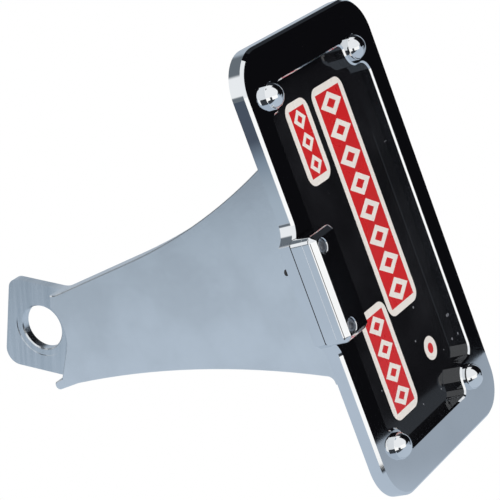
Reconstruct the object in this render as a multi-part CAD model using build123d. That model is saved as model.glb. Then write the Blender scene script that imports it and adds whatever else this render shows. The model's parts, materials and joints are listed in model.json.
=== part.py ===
from build123d import *
import math
import os

# Side mount holder for a motorcycle number plate, in millimetres.
# The origin is the centre of the axle hole, in the middle of the tab's thickness.
# +X points where the plate faces, +Z runs up the long edge of the plate, and the
# arm's outer face looks along -Y.

# Arm: one billet bar, milled thin at the axle end
axle_hole = 19.2
axle_hole_break = 0.5
arm_thickness = 12.7
tab_thickness = 4.76
arm_reach = 135.0
arm_edge_break = 0.4
spot_face_dia = 25.4
spot_face_depth = 0.3

# Tab that carries the axle, turned against the plate's own upright
tab_turn = -22.4
tab_height = 39.3
tab_end = 17.3
tab_end_lean = 6.0
tab_corner_top = 4.5
tab_corner_bottom = 6.5
tab_root_lap = 0.3
tab_root_fillet = 8.0
tab_heel = 12.3

# Milled recess of the tab, in the tab's own turned directions
recess_step = 10.1
recess_sweep = 17.5
recess_sweep_end = -10.0
recess_notch = (14.4, -17.2)
recess_notch_fillet = 0.9

# Toe below the tab, which hooks under the axle block
toe_x = 4.0
toe_z = -23.85
toe_radius = 1.9
toe_root_x = 14.0
toe_fillet = 0.8

# Top and bottom edges of the arm
top_start_x = 8.0
top_start_z = 12.0
top_slope = 8.53
top_bend_x = 62.0
top_curve = 246.0
bottom_apex_x = 16.2
bottom_apex_z = -24.6
bottom_curve = 396.8
foot_flare = 3.2
foot_land = 0.8

# Plate frame, milled from flat bar
frame_thickness = 6.35
frame_drop = 6.7
frame_corner = 16.5
frame_bevel = 1.1
bar_free_side = 12.1
bar_top = 16.5
bar_bottom = 15.0
window_bevel = 0.65
lobe_radius = 7.2
lobe_corner_free_side = 5.5
lobe_corner_rest = 2.8

# Plate screws on the 2.75 in by 5.75 in pattern of a motorcycle plate
screw_spacing_y = 69.85
screw_spacing_z = 146.05
screw_to_window_arm_side = 2.975
screw_to_window_free_side = 7.775
screw_to_window_top = 3.325
screw_to_window_bottom = 4.825
screw_dia = 6.35
screw_clearance = 0.3
head_dia = 10.9
head_ring = 1.6
head_shoulder = 0.2
head_dome = 3.9
washer_dia = 14.0
washer_thickness = 1.2
nut_flats = 11.1
nut_height = 4.0
nut_chamfer = 0.7
screw_tail = 0.8
screw_point = 0.5

# Black backing plate, in a pocket of the frame's back
plate_thickness = 1.5
plate_margin_y = 1.9
plate_margin_z = 3.95
plate_corner = 12.0
plate_gap = 0.15

# Ear on the frame's side, and the light block seated in a shallow step on it
ear_reach = 5.56
ear_length = 40.4
ear_drop = 0.7
ear_fillet = 8.0
seat_depth = 1.4
seat_gap = 0.1
gasket_thickness = 0.4
gasket_inset = 0.25
block_length = 43.2
block_corner = 2.5
base_thickness = 5.15
base_edge_break = 0.12
cover_thickness = 5.35
cover_bevel = 2.1
cover_shoulder = 1.5

# Screws that hold the light block, and the arm screws under it
cover_screw_dia = 3.5
cover_screw_end = 5.4
cover_screw_inset = 5.5
cover_screw_grip = 3.6
counterbore_dia = 6.0
counterbore_rim = 0.2
counterbore_depth = 3.4
cover_head_dia = 5.5
cover_head_height = 3.0
cover_head_rim = 0.45
socket_flats = 3.0
socket_depth = 1.6
arm_screw_dia = 5.0
arm_screw_head = 9.4
arm_screw_spacing = 24.0
arm_screw_length = 17.5
hole_tip = 0.4

# Light inside the block, which shines across the plate
lamp_end_wall = 5.6
lamp_height = 2.9
lamp_depth = 8.3
lens_thickness = 1.5
lens_setback = 0.2
board_thickness = 1.0
led_count = 3
led_end = 6.0
led_size = 2.4
led_thickness = 1.0
led_dome = 0.8
wire_hole = 1.8
wire_channel_depth = 1.8
wire_inset = 2.2
wire_rise = 10.0
grommet_dia = 2.5
grommet_lip = 2.0
grommet_plug = 3.0
grommet_bore = 1.0
fit_gap = 0.1

# Planes and places that the pieces share
tab_front_y = -tab_thickness / 2
arm_back_y = tab_thickness / 2
arm_face_y = arm_back_y - arm_thickness
arm_mid_y = (arm_face_y + arm_back_y) / 2
frame_back_x = arm_reach
frame_front_x = frame_back_x + frame_thickness
bar_arm_side = arm_thickness
window_width = screw_to_window_arm_side + screw_spacing_y + screw_to_window_free_side
window_height = screw_to_window_bottom + screw_spacing_z + screw_to_window_top
frame_width = bar_arm_side + window_width + bar_free_side
frame_height = bar_bottom + window_height + bar_top
plate_width = frame_width - 2 * plate_margin_y
plate_height = frame_height - 2 * plate_margin_z
frame_y0 = arm_face_y
frame_y1 = frame_y0 + frame_width
frame_mid_y = (frame_y0 + frame_y1) / 2
frame_mid_z = -frame_drop
window_y0 = frame_y0 + bar_arm_side
window_y1 = window_y0 + window_width
window_z0 = frame_mid_z - frame_height / 2 + bar_bottom
window_z1 = window_z0 + window_height
screw_mid_y = window_y0 + screw_to_window_arm_side + screw_spacing_y / 2
screw_mid_z = window_z0 + screw_to_window_bottom + screw_spacing_z / 2
screw_places = [
    (screw_mid_y + side_y * screw_spacing_y / 2, screw_mid_z + side_z * screw_spacing_z / 2)
    for side_z in (1, -1)
    for side_y in (-1, 1)
]
ear_mid_z = frame_mid_z - ear_drop
ear_face_y = frame_y0 - ear_reach
block_width = ear_reach + bar_arm_side
block_inner_y = ear_face_y + block_width
block_mid_y = (ear_face_y + block_inner_y) / 2
seat_x = frame_front_x - seat_depth
base_back_x = seat_x + gasket_thickness
base_front_x = base_back_x + base_thickness
cover_front_x = base_front_x + cover_thickness
counterbore_x = cover_front_x - counterbore_depth
cover_screw_y = ear_face_y + cover_screw_inset
cover_screw_rise = block_length / 2 - cover_screw_end
cover_screw_places = [(cover_screw_y, ear_mid_z + side * cover_screw_rise) for side in (1, -1)]
arm_screw_places = [(arm_mid_y, ear_mid_z + side * arm_screw_spacing / 2) for side in (1, -1)]
wire_y = ear_face_y + wire_inset
wire_z = ear_mid_z + wire_rise
lamp_y0 = block_inner_y - lamp_depth
lamp_length = block_length - 2 * lamp_end_wall
led_pitch = (lamp_length - 2 * led_end) / (led_count - 1)


def side_plane(y, turn=0.0):
    """Work plane seen from the arm's outer side: local x is +X turned, normal -Y."""
    angle = math.radians(turn)
    return Plane(origin=(0, y, 0), x_dir=(math.cos(angle), 0, math.sin(angle)), z_dir=(0, -1, 0))


def face_plane(x):
    """Work plane seen from the front of the plate: local x is +Y, local y is +Z, normal +X."""
    return Plane(origin=(x, 0, 0), x_dir=(0, 1, 0), z_dir=(1, 0, 0))


def block(x0, x1, y0, y1, z0, z1):
    """Box between two corners."""
    centre = Pos((x0 + x1) / 2, (y0 + y1) / 2, (z0 + z1) / 2)
    return centre * Box(x1 - x0, y1 - y0, z1 - z0)


def rod(x0, x1, radius, place):
    """Round bar along +X between two planes, at a (y, z) place."""
    return extrude(face_plane(x0) * Pos(*place) * Circle(radius), x1 - x0)


def turned(profile, x, place):
    """Solid of revolution about +X: profile points are (distance along X, radius)."""
    outline = make_face(Polyline(*[(radius, run) for run, radius in profile], close=True))
    return face_plane(x) * Pos(*place) * revolve(Plane.XZ * outline, Axis.Z)


def dome(radius, height):
    """Cap of a sphere standing on the XY plane."""
    ball = (radius**2 + height**2) / (2 * height)
    half_angle = math.acos((ball - height) / ball) / 2
    middle = (ball * math.sin(half_angle), height - ball + ball * math.cos(half_angle))
    with BuildSketch(Plane.XZ) as half:
        with BuildLine():
            Line((0, 0), (radius, 0))
            ThreePointArc((radius, 0), middle, (0, height))
            Line((0, height), (0, 0))
        make_face()
    return revolve(half.sketch, Axis.Z)


def arm_top(x):
    """Height of the arm's top edge: a straight run, then a long rising curve."""
    slope = math.radians(top_slope)
    bend_z = top_start_z + math.tan(slope) * (top_bend_x - top_start_x)
    if x <= top_bend_x:
        return top_start_z + math.tan(slope) * (x - top_start_x)
    here = math.asin(math.sin(slope) + (x - top_bend_x) / top_curve)
    return bend_z + top_curve * (math.cos(slope) - math.cos(here))


def arm_bottom(x):
    """Height of the arm's bottom edge: one long shallow arch."""
    return bottom_apex_z - bottom_curve + math.sqrt(bottom_curve**2 - (x - bottom_apex_x) ** 2)


foot_x = frame_back_x - foot_land
arm_root_top = arm_top(frame_back_x)
arm_root_bottom = arm_bottom(foot_x) - foot_flare


def touch_point(point, centre, radius, side):
    """Point where a straight line from the point touches a circle; side is 1 or -1."""
    run = point[0] - centre[0]
    rise = point[1] - centre[1]
    angle = math.atan2(rise, run) + side * math.acos(radius / math.hypot(run, rise))
    return (centre[0] + radius * math.cos(angle), centre[1] + radius * math.sin(angle))


def arm_outline():
    """Full outline of the arm: turned tab, toe and blade in one closed shape."""
    half = tab_height / 2
    lean = math.tan(math.radians(tab_end_lean)) * half
    turn = math.radians(tab_turn)
    slope = math.tan(math.radians(top_slope))
    rise = half * (math.cos(turn) + slope * math.sin(turn)) - top_start_z + slope * top_start_x
    tab_root = rise / (slope * math.cos(turn) - math.sin(turn)) + tab_root_lap
    with BuildSketch() as tab:
        with BuildLine():
            Polyline(
                (-tab_end + lean, half),
                (tab_root, half),
                (recess_sweep, 0),
                (tab_heel, -half),
                (-tab_end - lean, -half),
                close=True,
            )
        make_face()
        end_corners = tab.vertices().sort_by(Axis.X)[:2].sort_by(Axis.Y)
        fillet(end_corners[1], tab_corner_top)
        end_corners = tab.vertices().sort_by(Axis.Y)[:2].sort_by(Axis.X)
        fillet(end_corners[0], tab_corner_bottom)
    top_mid_x = (top_bend_x + frame_back_x) / 2
    bottom_mid_x = (toe_root_x + foot_x) / 2
    toe_root = (toe_root_x, arm_bottom(toe_root_x))
    toe_centre = (toe_x, toe_z)
    with BuildSketch() as blade:
        with BuildLine():
            Line((0, 0), (top_start_x, top_start_z))
            Line((top_start_x, top_start_z), (top_bend_x, arm_top(top_bend_x)))
            ThreePointArc(
                (top_bend_x, arm_top(top_bend_x)),
                (top_mid_x, arm_top(top_mid_x)),
                (frame_back_x, arm_root_top),
            )
            Polyline(
                (frame_back_x, arm_root_top),
                (frame_back_x, arm_root_bottom),
                (foot_x, arm_root_bottom),
                (foot_x, arm_bottom(foot_x)),
            )
            ThreePointArc(
                (foot_x, arm_bottom(foot_x)),
                (bottom_mid_x, arm_bottom(bottom_mid_x)),
                toe_root,
            )
            touch = touch_point(toe_root, toe_centre, toe_radius, -1)
            Polyline(toe_root, touch, toe_centre, (0, 0))
        make_face()
        foot = blade.vertices().sort_by_distance((foot_x, arm_bottom(foot_x), 0))[0]
        fillet(foot, foot_flare)
    toe = Pos(*toe_centre) * Circle(toe_radius)
    outline = Rot(0, 0, tab_turn) * tab.sketch + blade.sketch + toe
    root = Rot(0, 0, tab_turn) * Vertex(tab_root, half, 0)
    corner = outline.vertices().sort_by_distance(root.center())[0]
    outline = fillet(corner, tab_root_fillet)
    toe_back = outline.vertices().sort_by_distance((toe_x - toe_radius, toe_z + toe_radius, 0))[0]
    return fillet(toe_back, toe_fillet)


def tab_recess():
    """Area milled away in front of the tab and round the toe, in the tab's turned directions."""
    far = 2 * (tab_end + tab_height)
    turn = math.radians(tab_turn)
    toe_u = toe_x * math.cos(turn) + toe_z * math.sin(turn)
    toe_v = toe_z * math.cos(turn) - toe_x * math.sin(turn)
    step_rise = math.sqrt(recess_sweep**2 - recess_step**2)
    sweep_end = math.radians(recess_sweep_end)
    sweep_stop = (recess_sweep * math.cos(sweep_end), recess_sweep * math.sin(sweep_end))
    with BuildSketch() as recess:
        with BuildLine():
            Polyline((-far, far), (recess_step, far), (recess_step, step_rise))
            ThreePointArc((recess_step, step_rise), (recess_sweep, 0), sweep_stop)
            Polyline(
                sweep_stop,
                recess_notch,
                touch_point(recess_notch, (toe_u, toe_v), toe_radius, 1),
                (toe_u, toe_v),
                (toe_u, -far),
                (-far, -far),
                (-far, far),
            )
        make_face()
        notch = recess.vertices().sort_by_distance((*recess_notch, 0))[0]
        fillet(notch, recess_notch_fillet)
    return recess.sketch - Pos(toe_u, toe_v) * Circle(toe_radius)


def side_arm():
    """Billet arm with its thin tab, axle hole, spot face and two tapped holes."""
    arm = extrude(side_plane(arm_back_y) * arm_outline(), arm_thickness)
    arm -= extrude(side_plane(tab_front_y, tab_turn) * tab_recess(), arm_thickness)
    arm -= extrude(side_plane(arm_back_y) * Circle(axle_hole / 2), arm_thickness)
    arm -= extrude(
        side_plane(tab_front_y + spot_face_depth) * Circle(spot_face_dia / 2), spot_face_depth
    )
    rims = arm.edges().filter_by(GeomType.CIRCLE)
    hole_rims = rims.filter_by(lambda edge: abs(edge.radius - axle_hole / 2) < fit_gap / 10)
    arm = chamfer(hole_rims, axle_hole_break)
    outer_faces = arm.faces().filter_by(Axis.Y).sort_by(Axis.Y)
    blade_edges = outer_faces[0].edges() + outer_faces[-1].outer_wire().edges()
    free_edges = blade_edges.filter_by(lambda edge: edge.center().X < frame_back_x - fit_gap)
    arm = chamfer(free_edges, arm_edge_break)
    bottom_x = seat_x - arm_screw_length - hole_tip
    for place in arm_screw_places:
        arm -= rod(bottom_x, frame_back_x, arm_screw_dia / 2, place)
    return arm


def window_outline():
    """Window with a rounded square of metal left round each plate screw."""
    centre = Pos((window_y0 + window_y1) / 2, (window_z0 + window_z1) / 2)
    outline = centre * Rectangle(window_width, window_height)
    for y, z in screw_places:
        away_y = math.copysign(lobe_radius, y - screw_mid_y)
        away_z = math.copysign(lobe_radius, z - screw_mid_z)
        side = 2 * lobe_radius
        outline -= Pos(y, z) * Circle(lobe_radius)
        outline -= Pos(y + away_y, z) * Rectangle(side, side)
        outline -= Pos(y, z + away_z) * Rectangle(side, side)
    for wall, radius in (
        (lambda v: abs(v.X - window_y1) < fit_gap, lobe_corner_free_side),
        (lambda v: abs(v.X - window_y0) < fit_gap, lobe_corner_rest),
        (lambda v: abs(v.Y - window_z0) < fit_gap, lobe_corner_rest),
        (lambda v: abs(v.Y - window_z1) < fit_gap, lobe_corner_rest),
    ):
        outline = fillet(outline.vertices().filter_by(wall), radius)
    return outline


def ear_outline():
    """Ear with a hollow fillet at each end, where it grows out of the frame's side."""
    hollow_z = ear_length / 2 + math.sqrt(ear_fillet**2 - (ear_fillet - ear_reach) ** 2)
    width = ear_reach + frame_corner
    outline = Pos(ear_face_y + width / 2, ear_mid_z) * Rectangle(width, 2 * hollow_z)
    for side in (1, -1):
        outline -= Pos(frame_y0 - ear_fillet, ear_mid_z + side * hollow_z) * Circle(ear_fillet)
    return outline


def plate_frame():
    """Billet frame with window, ear, pocket for the plate and its screw holes."""
    blank = Pos(frame_mid_y, frame_mid_z) * RectangleRounded(frame_width, frame_height, frame_corner)
    window = window_outline()
    frame = extrude(face_plane(frame_back_x) * (blank + ear_outline() - window), frame_thickness)
    front = frame.faces().sort_by(Axis.X)[-1]
    back = frame.faces().sort_by(Axis.X)[0]
    frame = chamfer(front.outer_wire().edges(), frame_bevel)
    front = frame.faces().sort_by(Axis.X)[-1]
    frame = chamfer(front.inner_wires()[0].edges(), window_bevel)
    pocket = Pos(frame_mid_y, frame_mid_z) * RectangleRounded(
        plate_width + 2 * plate_gap, plate_height + 2 * plate_gap, plate_corner
    )
    land_y = (frame_y0 + arm_back_y + plate_gap) / 2
    land_z = (arm_root_top + arm_root_bottom) / 2
    pocket -= Pos(land_y, land_z) * Rectangle(
        arm_back_y + plate_gap - frame_y0, arm_root_top - arm_root_bottom + 2 * plate_gap
    )
    frame -= extrude(face_plane(frame_back_x) * pocket, plate_thickness)
    half_seat = block_length / 2 + seat_gap
    frame -= block(
        seat_x, frame_front_x,
        ear_face_y, window_y0,
        ear_mid_z - half_seat, ear_mid_z + half_seat,
    )
    for place in screw_places:
        frame -= rod(frame_back_x, frame_front_x, (screw_dia + screw_clearance) / 2, place)
    for place in cover_screw_places:
        frame -= rod(seat_x - cover_screw_grip - hole_tip, seat_x, cover_screw_dia / 2, place)
    for place in arm_screw_places:
        frame -= rod(frame_back_x, seat_x, arm_screw_dia / 2, place)
        frame -= arm_screw_head_cone(place)
    frame -= rod(frame_back_x, seat_x, wire_hole / 2, (wire_y, wire_z))
    return frame


def backing_plate():
    """Thin plate behind the window, notched where the arm meets the frame."""
    outline = Pos(frame_mid_y, frame_mid_z) * RectangleRounded(
        plate_width, plate_height, plate_corner - plate_gap
    )
    notch_y = (frame_y0 + arm_back_y + 2 * plate_gap) / 2
    notch_z = (arm_root_top + arm_root_bottom) / 2
    outline -= Pos(notch_y, notch_z) * Rectangle(
        arm_back_y + 2 * plate_gap - frame_y0, arm_root_top - arm_root_bottom + 4 * plate_gap
    )
    for place in screw_places:
        outline -= Pos(*place) * Circle((screw_dia + screw_clearance) / 2)
    return extrude(face_plane(frame_back_x) * outline, plate_thickness)


def plate_screw(place):
    """Smooth dome head on a ring, with a plain shank that ends just behind its nut."""
    radius = head_dia / 2
    dome_radius = radius - head_shoulder
    shoulder_x = head_ring - head_shoulder
    ring = [(0, 0), (0, radius), (shoulder_x, radius), (head_ring, dome_radius), (head_ring, 0)]
    head = turned(ring, frame_front_x, place)
    head += face_plane(frame_front_x + head_ring) * Pos(*place) * dome(dome_radius, head_dome)
    tail = frame_thickness + washer_thickness + nut_height + screw_tail
    thick = screw_dia / 2
    thin = thick - screw_point
    shank = [(0, 0), (0, thick), (screw_point - tail, thick), (-tail, thin), (-tail, 0)]
    return head + turned(shank, frame_front_x, place)


def plate_washer(place):
    """Flat washer behind the backing plate."""
    washer = rod(frame_back_x - washer_thickness, frame_back_x, washer_dia / 2, place)
    bore = (screw_dia + screw_clearance) / 2
    return washer - rod(frame_back_x - washer_thickness, frame_back_x, bore, place)


def plate_nut(place):
    """Thin hexagon nut with turned corners on both faces."""
    nut_x = frame_back_x - washer_thickness
    circle = nut_flats / math.sqrt(3)
    nut = extrude(face_plane(nut_x) * Pos(*place) * RegularPolygon(circle, 6), -nut_height)
    lathe = turned(
        [
            (0, 0),
            (0, circle - nut_chamfer),
            (-nut_chamfer / 2, circle),
            (nut_chamfer / 2 - nut_height, circle),
            (-nut_height, circle - nut_chamfer),
            (-nut_height, 0),
        ],
        nut_x,
        place,
    )
    return (nut & lathe) - rod(nut_x - nut_height, nut_x, screw_dia / 2, place)


def light_block_outline(inset=0.0):
    """Footprint shared by the light's gasket, base and cover."""
    size = RectangleRounded(
        block_width - 2 * inset, block_length - 2 * inset, block_corner - inset
    )
    return Pos(block_mid_y, ear_mid_z) * size


def light_gasket():
    """Thin rubber sheet between the step on the ear and the light's base."""
    gasket = extrude(face_plane(seat_x) * light_block_outline(gasket_inset), gasket_thickness)
    for place in cover_screw_places:
        gasket -= rod(seat_x, base_back_x, (cover_screw_dia + screw_clearance) / 2, place)
    return gasket - rod(seat_x, base_back_x, wire_hole / 2, (wire_y, wire_z))


def light_base():
    """Spacer between the gasket and the cover, with holes for screws and wire."""
    base = extrude(face_plane(base_back_x) * light_block_outline(), base_thickness)
    base = chamfer(base.faces().sort_by(Axis.X)[-1].edges(), base_edge_break)
    for place in cover_screw_places:
        base -= rod(base_back_x, base_front_x, (cover_screw_dia + screw_clearance) / 2, place)
    return base - rod(base_back_x, base_front_x, wire_hole / 2, (wire_y, wire_z))


def light_cover():
    """Bevelled cap with the lamp hollow, its side opening and a wire channel."""
    cover = extrude(face_plane(base_front_x) * light_block_outline(), cover_thickness)
    cover = chamfer(cover.faces().sort_by(Axis.X)[-1].edges(), cover_bevel)
    shoulder_x = cover_front_x - cover_bevel
    shoulder = cover.edges().filter_by(lambda edge: abs(edge.center().X - shoulder_x) < fit_gap)
    cover = fillet(shoulder, cover_shoulder)
    cover -= block(
        base_front_x, base_front_x + lamp_height,
        lamp_y0, block_inner_y,
        ear_mid_z - lamp_length / 2, ear_mid_z + lamp_length / 2,
    )
    cover -= block(
        base_front_x, base_front_x + wire_channel_depth,
        wire_y - wire_hole / 2, lamp_y0,
        wire_z - wire_hole / 2, wire_z + wire_hole / 2,
    )
    for place in cover_screw_places:
        cover -= rod(base_front_x, cover_front_x, (cover_screw_dia + screw_clearance) / 2, place)
        radius = counterbore_dia / 2
        rim = [
            (0, 0),
            (0, radius),
            (counterbore_depth - counterbore_rim, radius),
            (counterbore_depth, radius + counterbore_rim),
            (counterbore_depth, 0),
        ]
        cover -= turned(rim, counterbore_x, place)
    return cover


def light_lens():
    """Clear strip that closes the lamp's side opening."""
    outer_y = block_inner_y - lens_setback
    half = lamp_length / 2 - fit_gap
    lens = block(
        base_front_x, base_front_x + lamp_height - fit_gap,
        outer_y - lens_thickness, outer_y,
        ear_mid_z - half, ear_mid_z + half,
    )
    return lens


def led_board():
    """Circuit board against the far wall of the lamp hollow."""
    half = lamp_length / 2 - fit_gap
    return block(
        base_front_x, base_front_x + lamp_height - fit_gap,
        lamp_y0, lamp_y0 + board_thickness,
        ear_mid_z - half, ear_mid_z + half,
    )


def led(step):
    """Surface mount lamp with a small dome, facing across the plate."""
    mid_x = base_front_x + lamp_height / 2
    mid_z = ear_mid_z + led_pitch * (step - (led_count - 1) / 2)
    seat_y = lamp_y0 + board_thickness
    body = block(
        mid_x - led_size / 2, mid_x + led_size / 2,
        seat_y, seat_y + led_thickness,
        mid_z - led_size / 2, mid_z + led_size / 2,
    )
    dome = Pos(mid_x, seat_y + led_thickness, mid_z) * Sphere(led_dome)
    return body + dome


def cover_screw(place):
    """Socket head cap screw in the cover's counterbore."""
    radius = cover_head_dia / 2
    profile = [
        (0, 0),
        (0, radius),
        (cover_head_height - cover_head_rim, radius),
        (cover_head_height, radius - cover_head_rim),
        (cover_head_height, 0),
    ]
    head = turned(profile, counterbore_x, place)
    socket = face_plane(counterbore_x + cover_head_height) * Pos(*place)
    head -= extrude(socket * RegularPolygon(socket_flats / math.sqrt(3), 6), -socket_depth)
    return head + rod(seat_x - cover_screw_grip, counterbore_x, cover_screw_dia / 2, place)


def arm_screw_head_cone(place):
    """Countersunk head, flush with the step under the light."""
    drop = (arm_screw_head - arm_screw_dia) / 2
    profile = [(0, 0), (0, arm_screw_head / 2), (-drop, arm_screw_dia / 2), (-drop, 0)]
    return turned(profile, seat_x, place)


def arm_screw(place):
    """Countersunk screw that joins the frame to the end of the arm, under the light."""
    screw = arm_screw_head_cone(place)
    screw += rod(seat_x - arm_screw_length, seat_x, arm_screw_dia / 2, place)
    socket = face_plane(seat_x) * Pos(*place)
    return screw - extrude(socket * RegularPolygon(socket_flats / math.sqrt(3), 6), -socket_depth)


def wire_grommet():
    """Rubber eyelet where the light's wires leave the back of the ear."""
    place = (wire_y, wire_z)
    eyelet = rod(frame_back_x - grommet_lip, frame_back_x, grommet_dia / 2, place)
    eyelet += rod(frame_back_x, frame_back_x + grommet_plug, wire_hole / 2, place)
    return eyelet - rod(
        frame_back_x - grommet_lip, frame_back_x + grommet_plug, grommet_bore / 2, place
    )


def all_pieces():
    """Every piece of the holder by name."""
    pieces = {
        "side_arm": side_arm(),
        "plate_frame": plate_frame(),
        "backing_plate": backing_plate(),
        "light_gasket": light_gasket(),
        "light_base": light_base(),
        "light_cover": light_cover(),
        "light_lens": light_lens(),
        "led_board": led_board(),
        "wire_grommet": wire_grommet(),
    }
    for number, place in enumerate(screw_places, 1):
        pieces[f"plate_screw_{number}"] = plate_screw(place)
        pieces[f"plate_washer_{number}"] = plate_washer(place)
        pieces[f"plate_nut_{number}"] = plate_nut(place)
    for number, place in enumerate(cover_screw_places, 1):
        pieces[f"cover_screw_{number}"] = cover_screw(place)
    for number, place in enumerate(arm_screw_places, 1):
        pieces[f"arm_screw_{number}"] = arm_screw(place)
    for number in range(led_count):
        pieces[f"led_{number + 1}"] = led(number)
    return pieces


os.makedirs("parts", exist_ok=True)
for name, piece in all_pieces().items():
    export_step(piece, f"parts/{name}.step")
    box = piece.bounding_box()
    print(name, round(piece.volume, 1), tuple(box.min), tuple(box.max), len(piece.solids()))
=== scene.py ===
# %% [markdown]
# # Side mount plate holder, a lesson in Blender
# The real object is a flat bar of billet aluminium that clamps on a motorcycle's axle
# and carries an upright chromed frame for the number plate, with a small light on its
# ear. The solids come from CAD at their real sizes, so this lesson adds what CAD
# doesn't give: finishes, printed labels, dust and a studio.
# Bright metal has no colour of its own. It shows the room, so most of the work is in
# the room: what stands left, right, above and behind decides how every face looks.

import json

import bmesh
import bpy
from mathutils import Matrix, Vector


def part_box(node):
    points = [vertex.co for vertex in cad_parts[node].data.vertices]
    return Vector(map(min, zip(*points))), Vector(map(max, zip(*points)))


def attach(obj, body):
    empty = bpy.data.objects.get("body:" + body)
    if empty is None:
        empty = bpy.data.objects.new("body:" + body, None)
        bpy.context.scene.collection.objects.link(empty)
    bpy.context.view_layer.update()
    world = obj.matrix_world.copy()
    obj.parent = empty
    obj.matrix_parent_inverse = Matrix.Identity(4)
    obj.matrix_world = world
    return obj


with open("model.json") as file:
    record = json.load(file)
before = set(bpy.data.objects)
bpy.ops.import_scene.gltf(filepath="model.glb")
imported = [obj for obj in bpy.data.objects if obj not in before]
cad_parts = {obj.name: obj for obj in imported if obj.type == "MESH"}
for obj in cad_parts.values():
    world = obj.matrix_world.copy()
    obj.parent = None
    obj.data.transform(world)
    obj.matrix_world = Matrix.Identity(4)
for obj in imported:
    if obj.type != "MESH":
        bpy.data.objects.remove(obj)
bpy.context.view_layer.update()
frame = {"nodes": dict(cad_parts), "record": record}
nodes = frame["nodes"]
MM = 0.001
MICRON = 0.000001

# %% [markdown]
# ## Camera
# The photograph was taken with a long lens from in front of the arm and a little
# above it. A camera is fixed by where it stands, how it is turned and its lens. Solving
# all of these from the four plate screws, whose spacing is a standard, is better than
# moving the camera by eye, because the perspective then fits everywhere at once. The
# turn is written as the directions of the picture's right, its top and the way back.

# %% Camera at the photograph's angle
CAMERA_PLACE = Vector((0.57944, -0.67023, 0.16251))
CAMERA_RIGHT = Vector((0.804490, 0.483848, -0.344509))
CAMERA_UP = Vector((0.189805, 0.340184, 0.921004))
CAMERA_BACK = Vector((0.562823, -0.806328, 0.181838))
CAMERA_LENS = 154.07
CAMERA_SENSOR = 36.0

camera_data = bpy.data.cameras.new("photo_camera")
camera_data.lens = CAMERA_LENS
camera_data.sensor_width = CAMERA_SENSOR
camera = bpy.data.objects.new("photo_camera", camera_data)
bpy.context.scene.collection.objects.link(camera)
turn = Matrix((CAMERA_RIGHT, CAMERA_UP, CAMERA_BACK)).transposed().to_4x4()
camera.matrix_world = Matrix.Translation(CAMERA_PLACE) @ turn
bpy.context.scene.camera = camera
bpy.context.scene.view_settings.view_transform = "Standard"
print("camera at", tuple(CAMERA_PLACE), "lens", CAMERA_LENS)

# %% [markdown]
# ## A small language for materials
# A Blender material is a graph of nodes. Written out link by link it hides the idea, so
# this lesson uses two small helpers. `Tone` wraps one socket and lets plain arithmetic
# make the Math nodes. `Finish` makes one material, or the world, adds any other node
# with one method and sets the constants straight on the shader's own sockets.

# %% Sockets that can be added and multiplied
class Tone:
    """One output socket that makes Math nodes out of ordinary arithmetic."""

    def __init__(self, finish, socket):
        self.finish = finish
        self.socket = socket

    def maths(self, operation, *values):
        return self.finish.node(
            "ShaderNodeMath", dict(enumerate(values)), operation=operation
        )

    def __add__(self, other):
        return self.maths("ADD", self, other)

    def __radd__(self, other):
        return self.maths("ADD", other, self)

    def __sub__(self, other):
        return self.maths("SUBTRACT", self, other)

    def __rsub__(self, other):
        return self.maths("SUBTRACT", other, self)

    def __mul__(self, other):
        return self.maths("MULTIPLY", self, other)

    def __rmul__(self, other):
        return self.maths("MULTIPLY", other, self)

    def __truediv__(self, other):
        return self.maths("DIVIDE", self, other)

    def above(self, level):
        return self.maths("GREATER_THAN", self, level)

    def below(self, level):
        return self.maths("LESS_THAN", self, level)

    def size(self):
        return self.maths("ABSOLUTE", self)

    def modulo(self, step):
        return self.maths("FLOORED_MODULO", self, step)

    def most(self, other):
        return self.maths("MAXIMUM", self, other)

    def ramp(self, low, high, out_low=0.0, out_high=1.0):
        """Soft step from out_low to out_high as the value goes from low to high."""
        values = {"Value": self, "From Min": low, "From Max": high}
        values.update({"To Min": out_low, "To Max": out_high})
        return self.finish.node(
            "ShaderNodeMapRange", values, interpolation_type="SMOOTHSTEP"
        )

    def fade(self, low, high):
        """Soft step down from one to zero."""
        return self.ramp(low, high, 1.0, 0.0)


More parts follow.
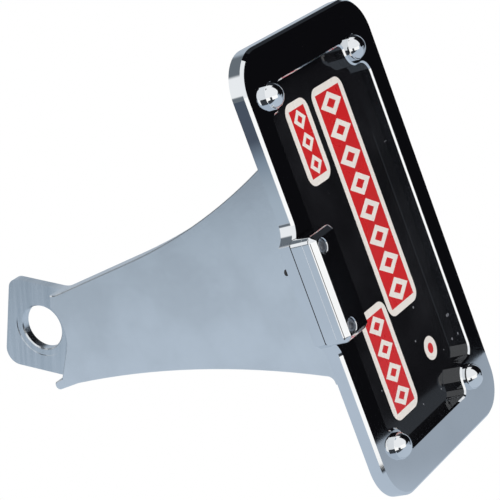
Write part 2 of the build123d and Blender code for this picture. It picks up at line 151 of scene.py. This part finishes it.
class Finish:
    """One material, or the world, built node by node."""

    def __init__(self, name, kind="Material"):
        family = {"Material": bpy.data.materials, "World": bpy.data.worlds}[kind]
        self.data = family.new(name)
        self.data.use_nodes = True
        self.tree = self.data.node_tree
        self.tree.nodes.clear()
        self.out = self.tree.nodes.new("ShaderNodeOutput" + kind)

    def plug(self, socket, value):
        if isinstance(value, Tone):
            self.tree.links.new(value.socket, socket)
        elif socket.type == "RGBA" and len(value) == 3:
            socket.default_value = (*value, 1.0)
        else:
            socket.default_value = value

    def node(self, kind, values=None, output=0, stops=None, **settings):
        """Adds a node, its settings first, and returns the output asked for."""
        made = self.tree.nodes.new(kind)
        for name, value in settings.items():
            setattr(made, name, value)
        if stops:
            for spot, (place, colour) in enumerate(stops):
                if spot > 1:
                    made.color_ramp.elements.new(place)
                made.color_ramp.elements[spot].position = place
                made.color_ramp.elements[spot].color = (*colour, 1.0)
        for name, value in (values or {}).items():
            self.plug(made.inputs[name], value)
        return Tone(self, made.outputs[output])

    def split(self, spot):
        """The three numbers of a place or a direction."""
        parts = self.node("ShaderNodeSeparateXYZ", {0: spot}).socket.node
        return [Tone(self, parts.outputs[axis]) for axis in "XYZ"]

    def place(self):
        """The piece's own coordinates, in metres, whole and as three numbers."""
        spot = self.node("ShaderNodeTexCoord", output="Object")
        return spot, self.split(spot)

    def noise(self, spot, scale, detail=2.0, rough=0.5, stretch=(1, 1, 1)):
        spot = self.node("ShaderNodeMapping", {"Vector": spot, "Scale": stretch})
        values = {"Vector": spot, "Scale": scale, "Detail": detail, "Roughness": rough}
        return self.node("ShaderNodeTexNoise", values)

    def mix(self, amount, first, second):
        """Colour between two colours."""
        values = {0: amount, 6: first, 7: second}
        return self.node("ShaderNodeMix", values, output=2, data_type="RGBA")

    def relief(self, height, depth):
        return self.node("ShaderNodeBump", {"Height": height, "Distance": depth})

    def end_in(self, shader):
        self.tree.links.new(shader.socket, self.out.inputs["Surface"])
        return self.data

    def surface(self, **sockets):
        """Ends the material in one Principled shader with these socket values."""
        values = {name.replace("_", " "): value for name, value in sockets.items()}
        return self.end_in(self.node("ShaderNodeBsdfPrincipled", values))


print("material helpers ready")

# %% [markdown]
# ## Chrome that isn't a perfect mirror
# The frame, the light and the plate screws are show chrome, which is nearly a mirror.
# A perfect mirror looks like computer chrome, so the real metal's small faults are
# added: a faint waviness from polishing, as a bump of a few micrometres, and places
# that are a little dull, as a soft noise in the roughness. Scales of a noise are per
# metre, so a scale of 38 makes patches of about 25 mm.

# %% Chrome finishes
CHROME_TINT = (0.83, 0.85, 0.87)
SCREW_TINT = (0.85, 0.865, 0.88)
HAZE_SCALE = 38.0
HAZE_LEVELS = (0.35, 0.7)
WAVE_SCALE = 55.0
GRAIN_SCALE = 900.0
HAZE_SHARE, GRAIN_SHARE = 0.7, 0.3


def darker(tint, share):
    return tuple(part * share for part in tint)


def chrome(name, tint, rough_low, rough_high, wave_depth):
    finish = Finish(name)
    spot, _ = finish.place()
    haze = finish.noise(spot, HAZE_SCALE, detail=3.0).ramp(*HAZE_LEVELS)
    grain = finish.noise(spot, GRAIN_SCALE, detail=1.0)
    wave = finish.noise(spot, WAVE_SCALE, detail=0.0)
    dull = HAZE_SHARE * haze + GRAIN_SHARE * grain
    return finish.surface(
        Base_Color=finish.mix(haze, tint, darker(tint, 0.96)),
        Metallic=1.0,
        Roughness=rough_low + (rough_high - rough_low) * dull,
        Normal=finish.relief(wave, wave_depth),
    )


frame_chrome = chrome("frame_chrome", CHROME_TINT, 0.018, 0.045, 12 * MICRON)
light_chrome = chrome("light_chrome", CHROME_TINT, 0.02, 0.05, 8 * MICRON)
fastener_chrome = chrome("fastener_chrome", SCREW_TINT, 0.02, 0.06, 4 * MICRON)
print("chrome finishes:", frame_chrome.name, light_chrome.name, fastener_chrome.name)

# %% [markdown]
# ## The arm's softer shine
# The arm is a machined bar that is polished less than the frame, so what it reflects is
# blurred: its roughness is several times the frame's. The thin tab at its end keeps
# faint upright marks of the milling cutter. They are too shallow for the mesh, so a
# noise draws them as a bump. The same noise paints darker upright streaks into the
# tab's colour, which are painted reflections, and the tab is painted a darker, bluer
# tint, which is painted shade. The noise reads one number across the marks and a
# twentieth of the distance along them, which stretches every grain into a line, and a
# mask keeps it on the tab.

# %% Arm finish with milling marks, painted shade and painted streaks on the tab
ARM_TINT = (0.90, 0.92, 0.935)
# Painted shade: the tab's darker, bluer tint, and the darker tint of its painted
# reflection streaks.
TAB_PAINTED_SHADE = (0.78, 0.815, 0.845)
PAINTED_STREAK_TINT = (0.68, 0.725, 0.76)
ARM_GRAIN_SCALE = 420.0
ACROSS_X, ACROSS_Z = 0.925, -0.381
ALONG_X, ALONG_Z = 0.02, 0.046
TAB_FACE_Y = (-6.0 * MM, -4.0 * MM)
TAB_ROOT_X = (10.0 * MM, 16.0 * MM)

arm = Finish("arm_chrome")
arm_spot, (arm_x, arm_y, arm_z) = arm.place()
arm_haze = arm.noise(arm_spot, HAZE_SCALE, detail=3.0).ramp(*HAZE_LEVELS)
arm_grain = arm.noise(arm_spot, ARM_GRAIN_SCALE, detail=3.0, rough=0.6)
across_marks = ACROSS_X * arm_x + ACROSS_Z * arm_z
along_marks = ALONG_X * arm_x + ALONG_Z * arm_z
mark_spot = arm.node("ShaderNodeCombineXYZ", {"X": across_marks, "Z": along_marks})
# This noise is real milling relief in the bump and painted reflection streaks in the
# colour.
marks_and_streaks = arm.noise(mark_spot, ARM_GRAIN_SCALE, detail=2.0)
on_tab = arm_y.ramp(*TAB_FACE_Y) * arm_x.fade(*TAB_ROOT_X)
arm_dull = arm_haze * HAZE_SHARE + arm_grain * GRAIN_SHARE
polished = arm.mix(arm_dull, ARM_TINT, darker(ARM_TINT, 0.9))
# Painted shade and painted reflections on the tab: a darker, bluer tint with darker
# upright streaks.
tab_shade_and_streaks = arm.mix(marks_and_streaks.ramp(*HAZE_LEVELS), TAB_PAINTED_SHADE, PAINTED_STREAK_TINT)
arm_chrome = arm.surface(
    Base_Color=arm.mix(on_tab, polished, tab_shade_and_streaks),
    Metallic=1.0,
    Roughness=0.13 + 0.04 * arm_haze + 0.03 * arm_grain + 0.05 * on_tab,
    Normal=arm.relief(arm_grain + 0.5 * on_tab * marks_and_streaks, 5 * MICRON),
)
print("arm finish:", arm_chrome.name)

# %% [markdown]
# ## Plain and blackened steel
# The two screws in the light's counterbores and the washers behind the plate are plain
# steel with fine scratches. A noise stretched along one axis makes them, in colour,
# roughness and bump at once, so that they catch light together. The two screws that
# hold the arm are blackened, which is patchy and only half metallic to the eye.

# %% Steels of the small fasteners
WASHER_TINT = (0.62, 0.63, 0.65)
STEEL_TINT = (0.55, 0.56, 0.58)
OXIDE_DARK = (0.02, 0.02, 0.022)
OXIDE_PALE = (0.05, 0.05, 0.055)
SCRATCH_STRETCH = (1, 1, 0.08)


def scratched_steel(name, tint, rough, scratch_pitch):
    finish = Finish(name)
    spot, _ = finish.place()
    scratches = finish.noise(spot, 1.0 / scratch_pitch, stretch=SCRATCH_STRETCH)
    return finish.surface(
        Base_Color=finish.mix(scratches, tint, darker(tint, 0.8)),
        Metallic=1.0,
        Roughness=rough + 0.15 * scratches,
        Normal=finish.relief(scratches, 10 * MICRON),
    )


washer_steel = scratched_steel("washer_steel", WASHER_TINT, 0.28, 0.4 * MM)
screw_steel = scratched_steel("screw_steel", STEEL_TINT, 0.22, 0.3 * MM)

oxide = Finish("black_steel")
oxide_spot, _ = oxide.place()
oxide_patch = oxide.noise(oxide_spot, GRAIN_SCALE, detail=3.0)
black_steel = oxide.surface(
    Base_Color=oxide.mix(oxide_patch, OXIDE_DARK, OXIDE_PALE),
    Metallic=0.6,
    Roughness=0.38 + 0.2 * oxide_patch,
)
print("steels:", washer_steel.name, screw_steel.name, black_steel.name)

# %% [markdown]
# ## Gloss black with dust
# The backing plate is gloss black, and dust is what makes a black surface look real.
# A Voronoi pattern gives one point in each cell of about 6 mm. A speck is where the
# distance to that point is less than a size that a noise sets, so most cells have none.

# %% Backing plate finish
PANEL_BLACK = (0.006, 0.006, 0.007)
PANEL_BLOOM = (0.014, 0.014, 0.016)
DUST_TINT = (0.30, 0.30, 0.32)
DUST_CELLS = 170.0
DUST_LEVELS = (0.44, 0.72)
LARGEST_SPECK = 0.15

panel = Finish("gloss_black")
panel_spot, _ = panel.place()
speck_distance = panel.node(
    "ShaderNodeTexVoronoi", {"Vector": panel_spot, "Scale": DUST_CELLS}, feature="F1"
)
speck_size = panel.noise(panel_spot, 120.0).ramp(*DUST_LEVELS, 0.0, LARGEST_SPECK)
specks = (speck_size - speck_distance).above(0.0)
bloom = panel.noise(panel_spot, 26.0, detail=4.0).ramp(0.45, 0.8)
panel_wave = panel.noise(panel_spot, 60.0, detail=0.0)
panel_black = panel.mix(bloom, PANEL_BLACK, PANEL_BLOOM)
gloss_black = panel.surface(
    Base_Color=panel.mix(specks * 0.6, panel_black, DUST_TINT),
    Roughness=0.04 + 0.05 * bloom + 0.4 * specks,
    Specular_IOR_Level=0.3,
    Normal=panel.relief(panel_wave, 10 * MICRON),
)
print("backing plate finish:", gloss_black.name)

# %% [markdown]
# ## Inside the light
# The light has a clear window, a green board with tracks under its lacquer, and three
# lamps whose yellow phosphor lies on the side that shines at the plate. Its gasket and
# the wire's sleeve are rubber. These are small, so each gets one simple pattern at its
# own scale: grain, stripes or a soft step.

# %% Rubber, lens, board and lamps
RUBBER_DARK = (0.012, 0.012, 0.012)
RUBBER_PALE = (0.03, 0.03, 0.03)
LENS_TINT = (0.93, 0.95, 0.96)
LENS_IOR = 1.49
BOARD_GREEN = (0.02, 0.13, 0.05)
TRACK_GREEN = (0.06, 0.27, 0.11)
TRACK_PITCH, TRACK_WIDTH = 2.5 * MM, 0.6 * MM
LAMP_WHITE = (0.85, 0.85, 0.83)
PHOSPHOR_YELLOW = (0.85, 0.74, 0.22)
PHOSPHOR_Y = (-5.2 * MM, -4.6 * MM)

rubber = Finish("black_rubber")
rubber_spot, _ = rubber.place()
rubber_grain = rubber.noise(rubber_spot, 1500.0, detail=3.0)
black_rubber = rubber.surface(
    Base_Color=rubber.mix(rubber_grain, RUBBER_DARK, RUBBER_PALE),
    Roughness=0.6 + 0.2 * rubber_grain,
    Normal=rubber.relief(rubber_grain, 30 * MICRON),
)

lens = Finish("clear_lens")
lens_spot, _ = lens.place()
clear_lens = lens.surface(
    Base_Color=LENS_TINT,
    Roughness=0.03 + 0.05 * lens.noise(lens_spot, 300.0),
    IOR=LENS_IOR,
    Transmission_Weight=1.0,
)

board = Finish("circuit_board")
board_spot, (_, _, board_z) = board.place()
tracks = board_z.modulo(TRACK_PITCH).below(TRACK_WIDTH)
circuit_board = board.surface(
    Base_Color=board.mix(tracks, BOARD_GREEN, TRACK_GREEN),
    Roughness=0.35 + 0.1 * board.noise(board_spot, 700.0),
)

lamp = Finish("led_white")
_, (_, lamp_y, _) = lamp.place()
phosphor = lamp_y.ramp(*PHOSPHOR_Y)
led_white = lamp.surface(
    Base_Color=lamp.mix(phosphor, LAMP_WHITE, PHOSPHOR_YELLOW),
    Roughness=0.3 + 0.1 * phosphor,
)
print("rubber and lens:", black_rubber.name, clear_lens.name)
print("board and lamps:", circuit_board.name, led_white.name)

# %% [markdown]
# ## Give every CAD piece its finish
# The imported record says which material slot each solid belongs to, so one table from
# slot to finish dresses every piece, and no piece can be forgotten.

# %% Dress the CAD pieces
finish_of_slot = {
    "arm_chrome": arm_chrome,
    "frame_chrome": frame_chrome,
    "gloss_black": gloss_black,
    "light_chrome": light_chrome,
    "clear_lens": clear_lens,
    "circuit_board": circuit_board,
    "black_rubber": black_rubber,
    "fastener_chrome": fastener_chrome,
    "washer_steel": washer_steel,
    "screw_steel": screw_steel,
    "black_steel": black_steel,
    "led_white": led_white,
}
for subpart in frame["record"]["subparts"]:
    node = nodes[subpart["node"]]
    node.data.materials.clear()
    node.data.materials.append(finish_of_slot[subpart["material_slot"]])

# %% [markdown]
# ## Printed labels on the backing plate
# The black plate carries film labels and one small round sticker, off-white with red
# print. A label is a real thing with a thickness, so it is modelled as a thin sheet
# that lies on the plate and not painted into the plate's material. Each sheet is drawn
# flat, thickened, and only then laid on the plate, with its width along Y, its length
# along Z and its face out along X.

# %% Label sheets
PLATE_FRONT_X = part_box("backing_plate")[1][0]
LABEL_LIFT = 0.02 * MM
LABEL_THICKNESS = 0.08 * MM
LABEL_CORNER = 5.0 * MM
LABEL_CORNER_STEPS = 6


def new_piece(name, mesh_maker, finish):
    """Turns a finished bmesh into a piece that rides on the holder's one body."""
    mesh = bpy.data.meshes.new(name)
    mesh_maker.to_mesh(mesh)
    mesh_maker.free()
    piece = bpy.data.objects.new(name, mesh)
    bpy.context.scene.collection.objects.link(piece)
    mesh.materials.append(finish)
    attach(piece, "root")
    return piece


def lay_on_plate(sheet, mid_y, mid_z):
    """Thickens a flat sheet and lays it on the plate's front, face outwards."""
    raised = bmesh.ops.extrude_face_region(sheet, geom=sheet.faces[:])
    top = [part for part in raised["geom"] if isinstance(part, bmesh.types.BMVert)]
    bmesh.ops.translate(sheet, vec=(0, 0, LABEL_THICKNESS), verts=top)
    to_x = (0, 0, 1, PLATE_FRONT_X + LABEL_LIFT)
    to_y = (1, 0, 0, mid_y)
    to_z = (0, 1, 0, mid_z)
    place = Matrix((to_x, to_y, to_z, (0, 0, 0, 1)))
    bmesh.ops.transform(sheet, matrix=place, verts=sheet.verts)
    bmesh.ops.recalc_face_normals(sheet, faces=sheet.faces)
    return sheet


def rounded_sheet(width, length):
    sheet = bmesh.new()
    bmesh.ops.create_grid(sheet, x_segments=1, y_segments=1, size=0.5)
    bmesh.ops.scale(sheet, vec=(width, length, 1), verts=sheet.verts)
    bmesh.ops.bevel(
        sheet,
        geom=sheet.verts[:],
        offset=LABEL_CORNER,
        segments=LABEL_CORNER_STEPS,
        profile=0.5,
        affect="VERTICES",
        material=-1,
    )
    return sheet


print("labels lie at x =", PLATE_FRONT_X)

# %% [markdown]
# ## The print
# The print is a chain of off-white diamonds in a red field. A diamond is where the
# distance across and the distance along, each as a share of its reach, add up to less
# than one, so it needs no picture, only that sum. A second, smaller limit on the same
# sum leaves a red heart in each diamond. A modulo repeats it down the label.

# %% Label print
PAPER_TINTS = (0.80, 0.73, 0.66), (0.72, 0.66, 0.60)
INK_TINTS = (0.60, 0.010, 0.012), (0.50, 0.012, 0.014)
INK_DEPTH = 20 * MICRON
LABEL_BORDER = 3.0 * MM
DIAMOND_MARGIN = 1.2 * MM
DIAMOND_REACH = 0.44
HEART_SHARE = 0.45


def film_surface(film, spot, print_mask):
    """Off-white film with slightly uneven red ink where the mask is one."""
    uneven = film.noise(spot, 60.0, detail=3.0)
    paper = film.mix(uneven, *PAPER_TINTS)
    ink = film.mix(uneven, *INK_TINTS)
    return film.surface(
        Base_Color=film.mix(print_mask, paper, ink),
        Roughness=0.22 + 0.12 * uneven,
        Normal=film.relief(print_mask, INK_DEPTH),
    )


def label_finish(name, mid_y, mid_z, width, length, diamonds):
    film = Finish(name)
    spot, (_, y, z) = film.place()
    across, along = (y - mid_y).size(), z - mid_z
    half_width = width / 2 - LABEL_BORDER
    half_length = length / 2 - LABEL_BORDER
    pitch = 2 * half_length / diamonds
    field = across.below(half_width) * along.size().below(half_length)
    step = ((along + half_length).modulo(pitch) - 0.5 * pitch).size()
    reach = across / (half_width - DIAMOND_MARGIN) + step / (DIAMOND_REACH * pitch)
    ring = reach.below(1.0) * reach.above(HEART_SHARE)
    return film_surface(film, spot, field * (1 - ring))


print("label border", LABEL_BORDER, "ink depth", INK_DEPTH)

# %% [markdown]
# ## Where the labels lie
# One label is long and runs down most of the plate, and two short ones stand at its
# side, above and below the light. The round sticker has a red dot, which is where the
# squares of the two distances from its middle add up to less than the radius squared.

# %% Three labels and one round sticker
LABELS = [
    (1, 53.0 * MM, 10.0 * MM, 26.0 * MM, 98.0 * MM, 8),
    (2, 28.0 * MM, -52.0 * MM, 22.0 * MM, 46.0 * MM, 4),
    (3, 27.0 * MM, 42.0 * MM, 18.0 * MM, 34.0 * MM, 3),
]
STICKER_PLACE = (61.0 * MM, -60.0 * MM)
STICKER_RADIUS = 5.0 * MM
DOT_RADIUS = 2.2 * MM

labels = []
for number, mid_y, mid_z, width, length, diamonds in LABELS:
    name = f"plate_label_{number}"
    film = label_finish(name, mid_y, mid_z, width, length, diamonds)
    sheet = lay_on_plate(rounded_sheet(width, length), mid_y, mid_z)
    labels.append(new_piece(name, sheet, film))

disc = bmesh.new()
bmesh.ops.create_circle(disc, cap_ends=True, segments=40, radius=STICKER_RADIUS)
disc = lay_on_plate(disc, *STICKER_PLACE)
dot = Finish("round_sticker")
dot_spot, (_, dot_y, dot_z) = dot.place()
off_y, off_z = dot_y - STICKER_PLACE[0], dot_z - STICKER_PLACE[1]
dot_print = (off_y * off_y + off_z * off_z).below(DOT_RADIUS**2)
dot_film = film_surface(dot, dot_spot, dot_print)
labels.append(new_piece("round_sticker", disc, dot_film))
print("labels:", [piece.name for piece in labels])

# %% [markdown]
# ## The studio
# A mirror-bright object is lit by what it reflects, so the studio is built from what
# each face has to show. Its floor and screens are flat sheets that aren't part of the
# object. Light Path tells who is looking: reflections get the sheet's own tone, the
# camera gets plain white, and matt surfaces get the light of pale paper. The screens
# are hidden from the camera and cast no shadow.

# %% Stage sheets
FLOOR_Z = -0.30
WHITE = (1.0, 1.0, 1.0)
PALE_PAPER = (0.75, 0.77, 0.79)


def stage_finish(finish, seen_tone, strength=1.0):
    """A surface that shows one tone in metal, and plain white to the camera."""
    by_camera = finish.node("ShaderNodeLightPath", output="Is Camera Ray")
    in_metal = finish.node("ShaderNodeLightPath", output="Is Glossy Ray")
    pale = finish.node("ShaderNodeBsdfDiffuse", {"Color": PALE_PAPER})
    seen = {"Color": seen_tone, "Strength": strength}
    tone = finish.node("ShaderNodeEmission", seen)
    white = finish.node("ShaderNodeEmission", {"Color": WHITE, "Strength": 1.0})
    shader = finish.node("ShaderNodeMixShader", {0: in_metal, 1: pale, 2: tone})
    shader = finish.node("ShaderNodeMixShader", {0: by_camera, 1: shader, 2: white})
    return finish.end_in(shader)


def screen(name, middle, across, up, finish, camera_sees=False):
    """Flat stage sheet from its middle and two half-side vectors."""
    sheet = bmesh.new()
    bmesh.ops.create_grid(sheet, x_segments=1, y_segments=1, size=1.0)
    across, up = Vector(across), Vector(up)
    turned = Matrix((across, up, across.cross(up).normalized())).transposed()
    place = Matrix.Translation(middle) @ turned.to_4x4()
    bmesh.ops.transform(sheet, matrix=place, verts=sheet.verts)
    mesh = bpy.data.meshes.new(name)
    sheet.to_mesh(mesh)
    sheet.free()
    mesh.materials.append(finish)
    made = bpy.data.objects.new(name, mesh)
    bpy.context.scene.collection.objects.link(made)
    made.visible_camera = camera_sees
    made.visible_diffuse = camera_sees
    made.visible_shadow = camera_sees


print("studio floor at", FLOOR_Z)

# %% [markdown]
# ## The floor
# The arm and the side of the frame face left and show the floor there. The higher a
# point on the frame's side, the further out the floor that it shows, so a colour ramp
# along Y decides how the side darkens upwards: pale blue-grey near by, nearly black
# about two metres out, and mid grey beyond three. The floor is a little darker towards
# the black screens. A dark patch in front of the frame keeps one strip of the backing
# plate black, because that strip mirrors the patch by way of the window's inner wall.

# %% Floor with its tones
FLOOR_HALF = 8.0
FLOOR_START, FLOOR_RUN = -0.9, 1.3
FLOOR_STOPS = [
    (0.0, (0.490, 0.568, 0.663)),
    (0.31, (0.460, 0.535, 0.622)),
    (0.58, (0.395, 0.468, 0.545)),
    (0.66, (0.345, 0.412, 0.482)),
    (0.82, (0.225, 0.285, 0.355)),
    (0.96, (0.075, 0.095, 0.130)),
]
FAR_FLOOR = (0.42, 0.47, 0.52)
FAR_FLOOR_Y = (-3.5, -3.1)
DARK_FLOOR = (0.02, 0.022, 0.026)
SCREEN_SHADE_Y, SCREEN_SHADE = (0.47, 0.60), 0.32
PATCH_X, PATCH_Y, PATCH_SHADE = (0.10, 0.16), (-0.31, -0.25), 0.95

floor_look = Finish("floor_paper")
_, (floor_x, floor_y, _) = floor_look.place()
way_out = (FLOOR_START - floor_y) / FLOOR_RUN
floor_tone = floor_look.node("ShaderNodeValToRGB", {"Fac": way_out}, stops=FLOOR_STOPS)
far_out = floor_y.fade(*FAR_FLOOR_Y)
floor_tone = floor_look.mix(far_out, floor_tone, FAR_FLOOR)
near_screen = floor_y.ramp(*SCREEN_SHADE_Y, 0.0, SCREEN_SHADE)
floor_tone = floor_look.mix(near_screen, floor_tone, DARK_FLOOR)
in_patch = floor_x.ramp(*PATCH_X) * floor_y.fade(*PATCH_Y)
floor_tone = floor_look.mix(in_patch * PATCH_SHADE, floor_tone, DARK_FLOOR)
floor_paper = stage_finish(floor_look, floor_tone)
screen(
    "floor",
    (0, 0, FLOOR_Z),
    (FLOOR_HALF, 0, 0),
    (0, FLOOR_HALF, 0),
    floor_paper,
    camera_sees=True,
)
print("floor tones:", len(FLOOR_STOPS))

# %% [markdown]
# ## Screens and cards
# The frame's front faces two black screens that stand in one line. The far one stands
# on the floor and the near one hangs above it, and the lower end of the frame looks
# under it at the pale floor. That is why the front is black above and grey below one
# sharp line. The bevels beside the black show a white card that stands on the floor,
# and a second card further left lights the narrow bevel of the light and gives the
# screw heads a bright spot. The gap between the cards stays dark.

# %% Black screens and white cards
CLOTH_BLACK = (0.004, 0.004, 0.005)
CARD_WHITE = (1.0, 0.99, 0.97)
CARD_STRENGTH = 1.15

black_cloth = stage_finish(Finish("black_cloth"), CLOTH_BLACK)
white_cloth = stage_finish(Finish("white_cloth"), CARD_WHITE, CARD_STRENGTH)
SCREENS = [
    ("black_screen", (0.4754, 1.9, 0.35), (-0.0919, 1.3, 0), 0.65, black_cloth),
    ("near_screen", (0.5814, 0.40, 0.475), (-0.0141, 0.20, 0), 0.525, black_cloth),
    ("white_card", (0.8465, -0.2325, -0.12), (0.1965, 0.2975, 0), 0.18, white_cloth),
    ("left_card", (0.295, -0.84, -0.12), (0.255, 0.02, 0), 0.18, white_cloth),
]
for name, middle, half_side, half_height, cloth in SCREENS:
    screen(name, middle, half_side, (0, 0, half_height), cloth)
print("screens:", [row[0] for row in SCREENS])

# %% [markdown]
# ## Room light
# The world is the room beyond the screens. To metal it shows a large white window over
# the camera, a band of windows on the left with a dark pillar between the two, a dim
# wall on the left, a grey wall behind the holder, and darkness elsewhere, because
# chrome looks like chrome only where light and dark meet. Each of them is a soft step
# in how far a direction points towards one side. Matt pieces get an even grey light,
# and the camera gets white.

# %% Room
ROOM_DARK = (0.025, 0.028, 0.033)
SIDE_WALL = (0.16, 0.185, 0.21)
FAR_WALL = (0.43, 0.49, 0.56)
WINDOW_WHITE = (0.95, 0.96, 0.97)
MATT_LIGHT = (0.72, 0.74, 0.77)
WINDOW_WAY, WINDOW_EDGE = (0.5417, -0.5417, 0.643), (0.44, 0.50)
BAND_WAY, BAND_EDGE = (-0.559, -0.829, 0.0), (0.48, 0.56)
BAND_FOOT, BAND_TOP = (0.03, 0.10), (0.68, 0.76)
SIDE_EDGE = (-0.6, -0.3)
BEHIND_WAY, BEHIND_EDGE = (0.1, 0.995, 0.0), (0.35, 0.6)
FAR_WALL_SLOPE, FAR_WALL_TOP = 0.8, (0.34, 0.50)
PILLAR_WAY, PILLAR_SIDE = (-0.3256, -0.9455, 0.0), (-0.9455, 0.3256, 0.0)
PILLAR_EDGE, PILLAR_LIMIT = (0.15, 0.19), 0.2

room = Finish("room", "World")
bpy.context.scene.world = room.data
east, north, height = room.split(room.node("ShaderNodeTexCoord", output="Generated"))


def towards(way):
    """How far the direction looked in points the given way, from -1 to 1."""
    return way[0] * east + way[1] * north + way[2] * height


window = towards(WINDOW_WAY).ramp(*WINDOW_EDGE)
band = height.ramp(*BAND_FOOT) * height.fade(*BAND_TOP)
band = band * towards(BAND_WAY).ramp(*BAND_EDGE)
pillar = towards(PILLAR_SIDE).size().fade(*PILLAR_EDGE)
pillar = pillar * towards(PILLAR_WAY).above(PILLAR_LIMIT)
windows = window.most(band) * (1 - pillar)

wall_tone = room.mix(east.fade(*SIDE_EDGE), ROOM_DARK, SIDE_WALL)
far_wall_top = height + FAR_WALL_SLOPE * east
far_wall = towards(BEHIND_WAY).ramp(*BEHIND_EDGE) * far_wall_top.fade(*FAR_WALL_TOP)
wall_tone = room.mix(far_wall, wall_tone, FAR_WALL)
metal_tone = room.mix(windows, wall_tone, WINDOW_WHITE)

room_by_camera = room.node("ShaderNodeLightPath", output="Is Camera Ray")
room_in_metal = room.node("ShaderNodeLightPath", output="Is Glossy Ray")
room_tone = room.mix(room_in_metal, MATT_LIGHT, metal_tone)
room_tone = room.mix(room_by_camera, room_tone, WHITE)
room.end_in(room.node("ShaderNodeBackground", {"Color": room_tone, "Strength": 1.0}))
print("room ready:", room.data.name)

# %% [markdown]
# ## Two soft lamps
# The labels, the rubber and the black plate aren't metal, so they need light that falls
# on them. A key lamp stands high on the camera's side and a weaker one fills from the
# left. Both are large, for soft light, and hidden from reflections, because the chrome
# already has its windows.


# %% Lamps
def soft_lamp(name, place, aim, size, power):
    lamp_data = bpy.data.lights.new(name, "AREA")
    lamp_data.size = size
    lamp_data.energy = power
    made = bpy.data.objects.new(name, lamp_data)
    bpy.context.scene.collection.objects.link(made)
    facing = (Vector(aim) - Vector(place)).to_track_quat("-Z", "Y").to_matrix()
    made.matrix_world = Matrix.Translation(place) @ facing.to_4x4()
    made.visible_glossy = False


soft_lamp("key_lamp", (0.95, -0.55, 0.75), (0.1, 0.03, 0.0), size=0.7, power=9.0)
soft_lamp("fill_lamp", (-0.6, -0.9, 0.4), (0.0, 0.0, 0.0), size=0.8, power=5.0)
print("lamps ready")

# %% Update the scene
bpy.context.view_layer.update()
